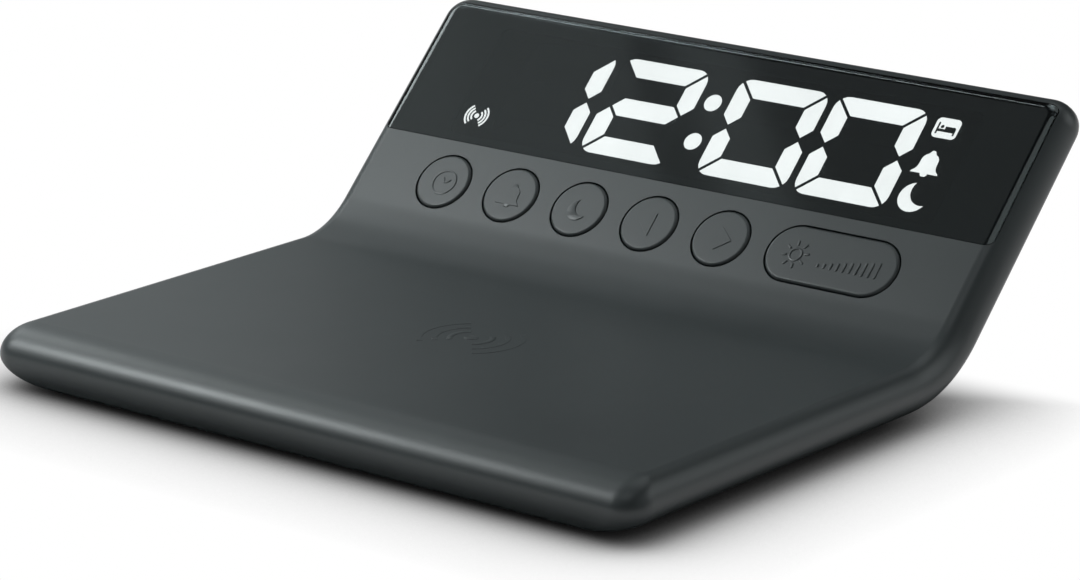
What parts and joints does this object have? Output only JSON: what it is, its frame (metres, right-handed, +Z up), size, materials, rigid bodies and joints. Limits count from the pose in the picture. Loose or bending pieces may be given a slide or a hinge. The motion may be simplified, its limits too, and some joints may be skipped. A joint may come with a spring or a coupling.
{
  "type": "wireless charging alarm clock",
  "caption": "Bedside digital alarm clock bent from one slab: a flat pad in front charges a phone laid on it, and a panel leaning back carries a smoked display and push keys.",
  "frame": {"origin": "under the middle of the clock's outline, on the plane its feet stand on", "axes": "+X to the right as the display is read, +Y to the back, +Z up"},
  "size_m": [0.17, 0.1574, 0.0585],
  "materials": {
    "soft_touch_plastic": "fine matte, soft-touch",
    "key_plastic": "fine matte",
    "underside_plastic": "fine textured",
    "smoked_lens": "clear smoked gloss",
    "mask_plastic": "matte",
    "diffuser_plastic": "milky",
    "circuit_board": "solder mask",
    "black_plastic": "moulded",
    "copper_wire": "enamelled copper",
    "ferrite": "matte",
    "ribbon_plastic": "satin",
    "foot_rubber": "matte",
    "bright_steel": "bright"
  },
  "bodies": {
    "housing": {"alarm_key_switch": "black_plastic", "base_cable_socket": "black_plastic", "base_housing_screw_1": "bright_steel", "base_housing_screw_2": "bright_steel", "base_housing_screw_3": "bright_steel", "base_housing_screw_4": "bright_steel", "battery_door": "underside_plastic", "battery_door_screw": "bright_steel", "buzzer": "black_plastic", "cell_door_contact": "bright_steel", "cell_roof_contact": "bright_steel", "charging_coil": "copper_wire", "coil_tray": "black_plastic", "coin_cell": "bright_steel", "display_board": "circuit_board", "display_board_screw_1": "bright_steel", "display_board_screw_2": "bright_steel", "display_board_screw_3": "bright_steel", "display_board_screw_4": "bright_steel", "display_lens": "smoked_lens", "ferrite_sheet": "ferrite", "foot_1": "foot_rubber", "foot_2": "foot_rubber", "foot_3": "foot_rubber", "foot_4": "foot_rubber", "light_guide": "diffuser_plastic", "lower_shell": "underside_plastic", "main_board": "circuit_board", "main_board_screw_1": "bright_steel", "main_board_screw_2": "bright_steel", "main_board_screw_3": "bright_steel", "minus_key_switch": "black_plastic", "nap_key_switch": "black_plastic", "panel_cable_socket": "black_plastic", "panel_housing_screw_1": "bright_steel", "panel_housing_screw_2": "bright_steel", "plus_key_switch": "black_plastic", "power_inlet": "bright_steel", "ribbon_cable": "ribbon_plastic", "segment_mask": "mask_plastic", "snooze_key_switch": "black_plastic", "time_key_switch": "black_plastic", "upper_shell": "soft_touch_plastic"},
    "time_key": {"time_key": "key_plastic", "time_key_plunger": "black_plastic"},
    "alarm_key": {"alarm_key": "key_plastic", "alarm_key_plunger": "black_plastic"},
    "nap_key": {"nap_key": "key_plastic", "nap_key_plunger": "black_plastic"},
    "minus_key": {"minus_key": "key_plastic", "minus_key_plunger": "black_plastic"},
    "plus_key": {"plus_key": "key_plastic", "plus_key_plunger": "black_plastic"},
    "snooze_key": {"snooze_key": "key_plastic", "snooze_key_plunger": "black_plastic"}
  },
  "joints": [
    {"name": "time_key_press", "type": "slide", "parent": "housing", "child": "time_key", "axis": [0, 0.7071, -0.7071], "range_m": [0, 0.0005], "stiffness_N_per_m": 2000},
    {"name": "alarm_key_press", "type": "slide", "parent": "housing", "child": "alarm_key", "axis": [0, 0.7071, -0.7071], "range_m": [0, 0.0005], "stiffness_N_per_m": 2000},
    {"name": "nap_key_press", "type": "slide", "parent": "housing", "child": "nap_key", "axis": [0, 0.7071, -0.7071], "range_m": [0, 0.0005], "stiffness_N_per_m": 2000},
    {"name": "minus_key_press", "type": "slide", "parent": "housing", "child": "minus_key", "axis": [0, 0.7071, -0.7071], "range_m": [0, 0.0005], "stiffness_N_per_m": 2000},
    {"name": "plus_key_press", "type": "slide", "parent": "housing", "child": "plus_key", "axis": [0, 0.7071, -0.7071], "range_m": [0, 0.0005], "stiffness_N_per_m": 2000},
    {"name": "snooze_key_press", "type": "slide", "parent": "housing", "child": "snooze_key", "axis": [0, 0.7071, -0.7071], "range_m": [0, 0.0005], "stiffness_N_per_m": 2000}
  ]
}
